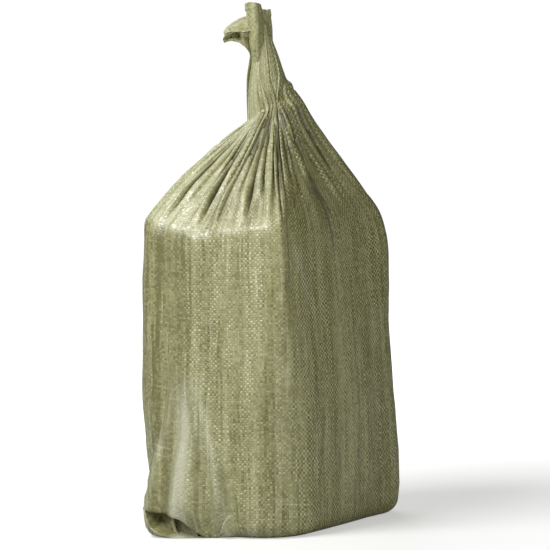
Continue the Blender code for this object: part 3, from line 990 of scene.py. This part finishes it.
# The loose folds of the mouth and of the tucked corner: rows of points from low to high, each as
# right, away and height in millimetres, as the camera sees them
MOUTH_FOLDS = {
    "mouth_front_fold": (
        (0, 2, 592,  -3, -5, 592,  0, -9, 592,  4, -11, 592,  10, -9, 592,  13, 0, 592),
        (-7, 6, 632,  -12, -5, 632,  -9, -13, 632,  -4.5, -18, 632,  6.5, -10, 632,  7, 2, 632),
        (-8, 7, 660,  -16, -4, 660,  -11, -13, 660,  -3.2, -19, 660,  7.5, -8, 660,  5, 4, 660),
        (-9, 7, 682,  -17.5, -4, 683,  -12, -13, 684,  -3.6, -18, 684,  5.6, -8, 682,  4, 4, 680),
        (-10, 5, 695,  -18, -4, 697,  -12, -12, 700,  -4, -17, 699.5,  2.5, -10, 696,  2, 2, 690),
    ),
    "mouth_right_fold": (
        (4, -8, 596,  9, -6, 596,  12, -1, 596,  9, 6, 596),
        (6, -4, 630,  11, 0, 630,  16.5, 7, 630,  10, 13, 630),
        (5, -2, 656,  11, 5, 656,  18.2, 9, 656,  9, 16, 656),
        (4, -1, 690,  9.5, 5, 689,  15.1, 8, 689.5,  7, 15, 687),
    ),
    "mouth_back_fold": (
        (15, 5, 592,  13, 10, 592,  6, 12, 592,  0, 8, 592),
        (11, 5, 632,  10, 14, 632,  -1, 17, 632,  -10, 12, 632),
        (10, 4, 662,  12, 15, 662,  -3, 19, 662,  -14, 12, 662),
        (8, 4, 687,  11, 14, 687,  -4, 18, 687,  -15, 12, 687),
    ),
    # This one has flopped over to the left, and the next is its lower layer
    "mouth_left_lobe": (
        (2, -8, 594,  -1, -5, 594,  -3, 0, 594,  -1, 4, 594,  3, 8, 594),
        (-6, -13, 630,  -11, -9, 631,  -13, 0, 632,  -12, 6, 632,  -8, 12, 632),
        (-4, -8, 646,  -8, -6, 650,  -10, 2, 653,  -8, 8, 653,  -5, 13, 651),
        (-8, -12, 660,  -11, -7, 668,  -10, 1, 680,  -8, 10, 681,  -5, 16, 668),
        (-18, -14, 661.5,  -19, -8, 669,  -18, 1, 680,  -16, 10, 679,  -13, 17, 667),
        (-28, -14, 661.5,  -29, -8, 669,  -28, 1, 677,  -25, 10, 676,  -22, 17, 664),
        (-39, -12, 660.5,  -40, -7, 666,  -40, 1, 671,  -38, 9, 667,  -35, 15, 658),
        (-45.5, -9, 657.5,  -47, -5, 660,  -47, 1, 660,  -46, 8, 656,  -43, 12, 650),
    ),
    "mouth_lower_lobe": (
        (-9, -6, 622,  -12, -7, 638,  -14, -7, 651,  -14, -11, 661),
        (-15, -10, 634,  -20, -12, 643,  -23, -12, 654,  -22, -14, 661),
        (-24, -8, 645.5,  -27, -4, 651,  -28, -2, 657,  -27, -13, 661.5),
        (-30, -9, 648,  -31, -6, 652,  -31, -2, 658,  -31, -12, 661.5),
        (-36, -10, 648.7,  -36, -10, 651,  -36, -5, 656.5,  -35, -12, 661),
        (-41, -6, 648.5,  -41, -6.5, 650,  -41, -5, 653.5,  -41, -11, 659.5),
        (-46.3, -4, 646.6,  -48, -5.5, 649,  -48.8, -8, 652,  -46, -9, 657.5),
    ),
}
CORNER_FOLDS = {
    "tucked_fold_left": (
        (-158, -82, 4,  -152, -92, 1.5,  -144, -101, 0.8,  -135, -113, 0.8),
        (-157, -86, 16,  -152, -91, 15,  -146, -99, 15,  -134, -114, 15),
        (-159, -82, 35,  -154, -89, 36,  -147, -97, 37,  -136, -112, 36),
    ),
    "tucked_seam": (
        (-124.5, -125, 0.8,  -121.5, -128.5, 0.8,  -118, -129, 0.8),
        (-133, -118, 11,  -130, -121.5, 11,  -127.5, -121, 10),
        (-137, -113.5, 34,  -134, -116.5, 34,  -131, -117, 34),
    ),
    "tucked_fold_right": (
        (-117, -119, 0.8,  -111, -126, 0.8,  -105, -131, 0.8,  -99, -134, 0.8),
        (-127, -110, 12,  -120, -118, 12,  -111, -127, 11,  -101, -134, 8),
        (-131.5, -107, 32,  -125, -116, 32,  -117, -125, 30,  -107, -133, 19),
    ),
}
HEM_TALL = 0.009
HEM_THICK = 0.001
HEM_STEP = 0.0007
CLOTH_THICK = 0.0006
# The creases of the loose folds: the height and length of each, and how many run round. They
# grow over this length, and a fold spans this share of the way round.
CREASES = ((0.0012, 0.05, 16), (0.0004, 0.012, 30))
CREASES_GROW = 0.03
FOLD_SPAN = 0.6
MOUTH_SEED = 31
CORNER_SEED = 51
CORNER_SHEET = {"rows": 40, "columns": 24, "hem_thick": 0.0, "crumple": 0.3}


def curve_through(values, places):
    """Catmull-Rom values at places from 0 to 1 through evenly spaced values."""
    values = np.asarray(values, float)
    padded = np.concatenate([[2 * values[0] - values[1]], values, [2 * values[-1] - values[-2]]])
    spot = np.clip(places, 0, 1) * (len(values) - 1)
    index = np.minimum(np.floor(spot).astype(int), len(values) - 2)
    t = (spot - index).reshape(-1, *[1] * (values.ndim - 1))
    p0, p1, p2, p3 = (padded[index + step] for step in range(4))
    bend = (2 * p0 - 5 * p1 + 4 * p2 - p3) * t**2 + (3 * p1 - p0 - 3 * p2 + p3) * t**3
    return 0.5 * (2 * p1 + (p2 - p0) * t + bend)


def dress(piece, material):
    piece.data.materials.append(material)
    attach(piece, "root")
    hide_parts("woven_sack")


def fold_object(name, cage, material, seed, rows=80, columns=44, hem_thick=HEM_THICK, crumple=1.0):
    """A sheet through a cage of points, with a hem along its last row."""
    places = np.reshape(cage, (len(cage), -1, 3)) / 1000
    points = curve_through(placed(*np.moveaxis(places, -1, 0)), np.linspace(0, 1, rows))
    points = curve_through(points.transpose(1, 0, 2), np.linspace(0, 1, columns)).transpose(1, 0, 2)
    lengths = length_up(points)
    across = sums_to(np.linalg.norm(np.diff(points[rows // 2], axis=0), axis=1))
    share = np.linspace(0, FOLD_SPAN, columns) + np.zeros((rows, 1))
    bump = np.zeros((rows, columns))
    for number, (tall, length, count) in enumerate(CREASES):
        bump += tall * lattice_noise(share, lengths / length, count, seed + number)
    bump *= crumple * smooth(lengths / CREASES_GROW)
    to_edge = lengths[-1] - lengths
    bump += hem_thick * (1 - smooth((to_edge - HEM_TALL) / HEM_STEP))
    normals = unit(np.cross(np.gradient(points, axis=1), np.gradient(points, axis=0)))
    points = points + normals * bump[..., None]
    fold = grid_object(name, points, np.append(across, across[-1]) + seed, lengths, joined=False)
    thick = fold.modifiers.new("thickness", "SOLIDIFY")
    thick.thickness = CLOTH_THICK
    thick.offset = -1.0
    dress(fold, material)
    return fold


def make_loose_folds(material):
    groups = ((MOUTH_FOLDS, MOUTH_SEED, {}), (CORNER_FOLDS, CORNER_SEED, CORNER_SHEET))
    return [
        fold_object(name, cage, material, seed, **sheet)
        for folds, first, sheet in groups
        for seed, (name, cage) in enumerate(folds.items(), start=first)
    ]


def make_sack():
    points, painted_shades, ridge_highlights, across, kinds = folded_cloth()
    points = wrinkled(points, kinds)
    material = woven_tape_material(float(across[-1]))
    folds = make_loose_folds(material)
    points[..., 2] = np.maximum(points[..., 2], 0.0)
    up = length_up(points)
    up -= up[kinds.index("cone")]
    sack = grid_object("sack_cloth", points, across, up)
    # The painted shade of the valleys and the painted highlight of the tent's ridges, for the
    # material
    for name, values in (("valley", painted_shades), ("painted_ridge_highlight", ridge_highlights)):
        attribute = sack.data.attributes.new(name, "FLOAT", "POINT")
        attribute.data.foreach_set("value", values.astype(np.float32).ravel())
    dress(sack, material)


# The camera: the photograph's place, in its 550 by 550 frame
FRAME_PIXELS = 550
METRES_PER_PIXEL = 0.00134
CAMERA_DISTANCE = 6.5
CAMERA_ELEVATION = math.radians(5.0)
CAMERA_ROLL = math.radians(1.6)
CAMERA_AIM = (0.0, 0.0, 0.34)
AIM_PIXEL = (266.0, 270.5)
SENSOR_WIDTH = 36.0


def direction(azimuth, elevation):
    """The way out from the sack. Azimuth 0 is in front, and a right angle is at +X."""
    return Vector((
        math.sin(azimuth) * math.cos(elevation),
        -math.cos(azimuth) * math.cos(elevation),
        math.sin(elevation),
    ))


def make_camera():
    back = direction(VIEW_AZIMUTH, CAMERA_ELEVATION)
    right = Vector(VIEW_RIGHT)
    up = back.cross(right)
    roll = Matrix.Rotation(-CAMERA_ROLL, 3, back)
    right, up = roll @ right, roll @ up
    middle = FRAME_PIXELS / 2
    aim = Vector(CAMERA_AIM)
    aim += right * (middle - AIM_PIXEL[0]) * METRES_PER_PIXEL
    aim -= up * (middle - AIM_PIXEL[1]) * METRES_PER_PIXEL
    data = bpy.data.cameras.new("camera")
    data.sensor_width = SENSOR_WIDTH
    data.lens = SENSOR_WIDTH * CAMERA_DISTANCE / (FRAME_PIXELS * METRES_PER_PIXEL)
    data.clip_end = 50.0
    camera = placed_object("camera", data)
    turn = Matrix((right, up, back)).transposed()
    camera.matrix_world = Matrix.Translation(aim + back * CAMERA_DISTANCE) @ turn.to_4x4()
    bpy.context.scene.camera = camera


WHITE = (1.0, 1.0, 1.0, 1.0)
# The square soft lights that face the sack: azimuth and elevation in degrees, size, watts, colour
LIGHTS = {
    "key": (-25, 45, 1.5, 102, WHITE[:3]),
    "fill": (57, 8, 2.0, 26, (1.0, 0.98, 0.78)),
    "glint": (62, 14, 1.2, 11, (1.0, 0.98, 0.86)),
    "rim": (-128, 26, 2.2, 36, WHITE[:3]),
}
LIGHT_DISTANCE = 2.6
LIGHT_AIM = (0, 0, 0.3)
WORLD_LIGHT = 0.06


def make_lights():
    """The lights, and a world that shows white but lights little."""
    for name, (azimuth, elevation, size, energy, colour) in LIGHTS.items():
        data = bpy.data.lights.new(name, "AREA")
        data.size, data.energy, data.color = size, energy, colour
        light = placed_object(name, data)
        towards = direction(math.radians(azimuth), math.radians(elevation))
        light.location = Vector(LIGHT_AIM) + towards * LIGHT_DISTANCE
        light.rotation_euler = towards.to_track_quat("Z", "Y").to_euler()
        light.visible_glossy = name != "fill"
    world = bpy.data.worlds.new("studio")
    bpy.context.scene.world = world
    world.use_nodes = True
    n = Nodes(world.node_tree)
    lighting = world.node_tree.nodes["Background"]
    n.put(lighting, {"Color": WHITE, "Strength": WORLD_LIGHT})
    shown = n.add("ShaderNodeBackground", WHITE, 1.0)
    seen = n.add("ShaderNodeLightPath", output="Is Camera Ray")
    chosen = n.add("ShaderNodeMixShader", seen, Value(n, lighting.outputs[0]), shown)
    n.put(world.node_tree.nodes["World Output"], {"Surface": chosen})


# The floor: half its side, its grey, and from where to where its white grows
FLOOR_HALF = 12.0
FLOOR_GREY = (0.45, 0.45, 0.45, 1.0)
FLOOR_WHITE = (0.3, 1.6, 0.45, 1.0)


def make_floor():
    """A pale floor that is evenly white from a little way off."""
    mesh = bpy.data.meshes.new("floor")
    corners = [(x * FLOOR_HALF, y * FLOOR_HALF, 0) for x, y in ((-1, -1), (1, -1), (1, 1), (-1, 1))]
    mesh.from_pydata(corners, [], [(0, 1, 2, 3)])
    floor = placed_object("floor", mesh)
    material, shader, n = new_material("pale_floor")
    place = n.add("ShaderNodeTexCoord", output="Object")
    length = n.add("ShaderNodeVectorMath", place, output="Value", operation="LENGTH")
    seen = n.add("ShaderNodeLightPath", output="Is Camera Ray")
    n.put(shader, {
        "Base Color": FLOOR_GREY,
        "Roughness": 0.8,
        "Emission Color": WHITE,
        "Emission Strength": n.ramp(length, *FLOOR_WHITE) * seen,
    })
    mesh.materials.append(material)


bpy.context.scene.view_settings.view_transform = "Standard"
make_camera()
make_lights()
make_floor()
make_sack()
